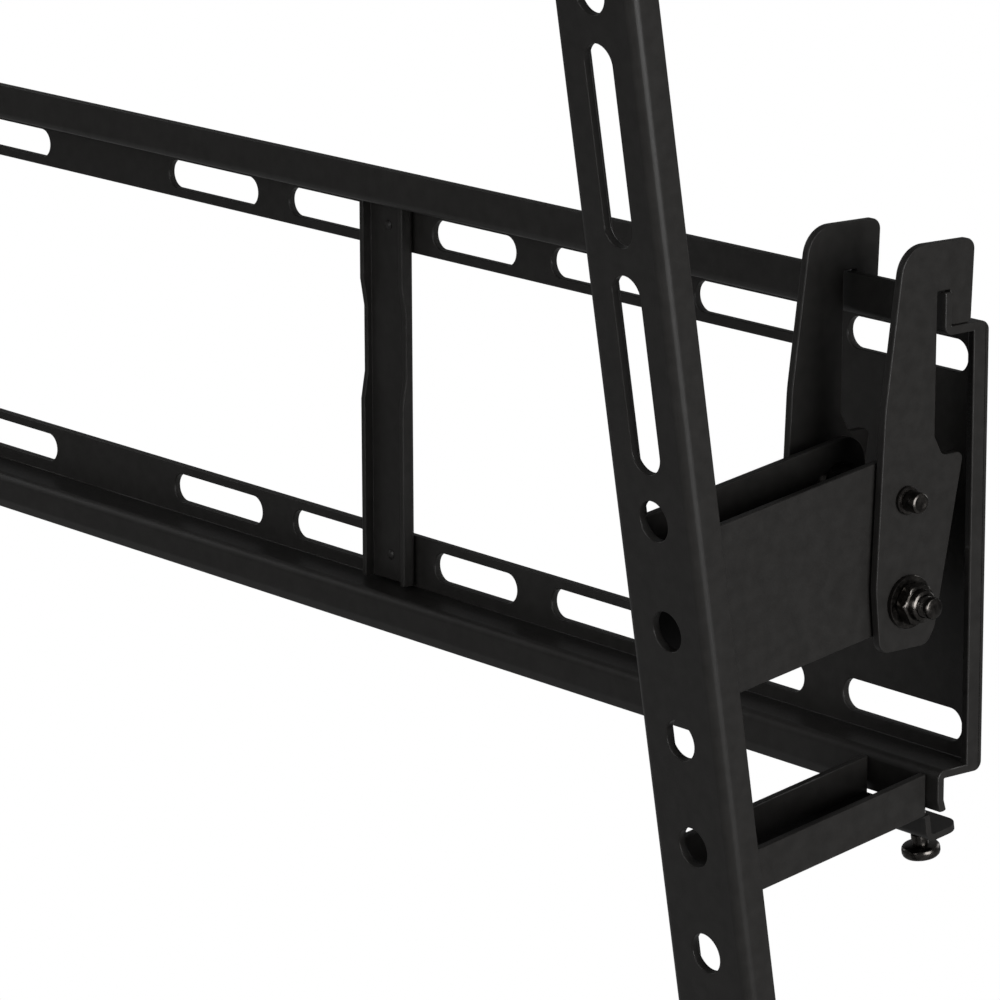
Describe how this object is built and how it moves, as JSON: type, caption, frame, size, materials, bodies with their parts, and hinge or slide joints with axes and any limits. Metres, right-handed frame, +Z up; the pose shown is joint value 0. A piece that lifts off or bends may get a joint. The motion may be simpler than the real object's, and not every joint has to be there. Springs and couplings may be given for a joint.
{
  "type": "tilting screen wall mount",
  "caption": "Tilting wall mount for a flat screen: slotted wall plate with a long window, and hook-on brackets whose drilled rails tilt and lock.",
  "frame": {"origin": "on the wall, at the middle of the wall plate", "axes": "+X along the wall plate, +Y into the wall, +Z up"},
  "size_m": [0.6763, 0.1091, 0.4249],
  "materials": {
    "powder_coat": "satin black powder coat",
    "black_fastener": "glossy black plated steel"
  },
  "bodies": {
    "wall": {"wall_plate": "powder_coat", "right_upright": "powder_coat", "left_upright": "powder_coat", "upright_rivets": "powder_coat"},
    "right_hooks": {"right_hook_a": "powder_coat", "right_hook_b": "powder_coat", "right_pivot_bolt": "black_fastener", "right_pivot_nut": "black_fastener", "right_pivot_washers": "black_fastener", "right_stop_stud": "black_fastener", "right_stud_rings": "black_fastener", "right_stud_spacer": "black_fastener"},
    "right_rail": {"right_screen_rail": "powder_coat", "right_lock_plate": "powder_coat"},
    "right_lock": {"right_lock_screw": "black_fastener"},
    "left_hooks": {"left_hook_a": "powder_coat", "left_hook_b": "powder_coat", "left_pivot_bolt": "black_fastener", "left_pivot_nut": "black_fastener", "left_pivot_washers": "black_fastener", "left_stop_stud": "black_fastener", "left_stud_rings": "black_fastener", "left_stud_spacer": "black_fastener"},
    "left_rail": {"left_screen_rail": "powder_coat", "left_lock_plate": "powder_coat"},
    "left_lock": {"left_lock_screw": "black_fastener"}
  },
  "joints": [
    {"name": "right_slide", "type": "slide", "parent": "wall", "child": "right_hooks", "axis": [1, 0, 0], "range_m": [-0.29, 0]},
    {"name": "right_tilt", "type": "hinge", "parent": "right_hooks", "child": "right_rail", "pos_m": [0.31455, -0.0225, -0.0087], "axis": [1, 0, 0], "range_deg": [-8.82, 0]},
    {"name": "right_lock_run", "type": "slide", "parent": "right_rail", "child": "right_lock", "axis": [0, -0.1533, 0.9882], "range_m": [0, 0.0037]},
    {"name": "left_slide", "type": "slide", "parent": "wall", "child": "left_hooks", "axis": [1, 0, 0], "range_m": [0, 0.29]},
    {"name": "left_tilt", "type": "hinge", "parent": "left_hooks", "child": "left_rail", "pos_m": [-0.31455, -0.0225, -0.0087], "axis": [1, 0, 0], "range_deg": [-8.82, 0]},
    {"name": "left_lock_run", "type": "slide", "parent": "left_rail", "child": "left_lock", "axis": [0, -0.1533, 0.9882], "range_m": [0, 0.0037]}
  ]
}
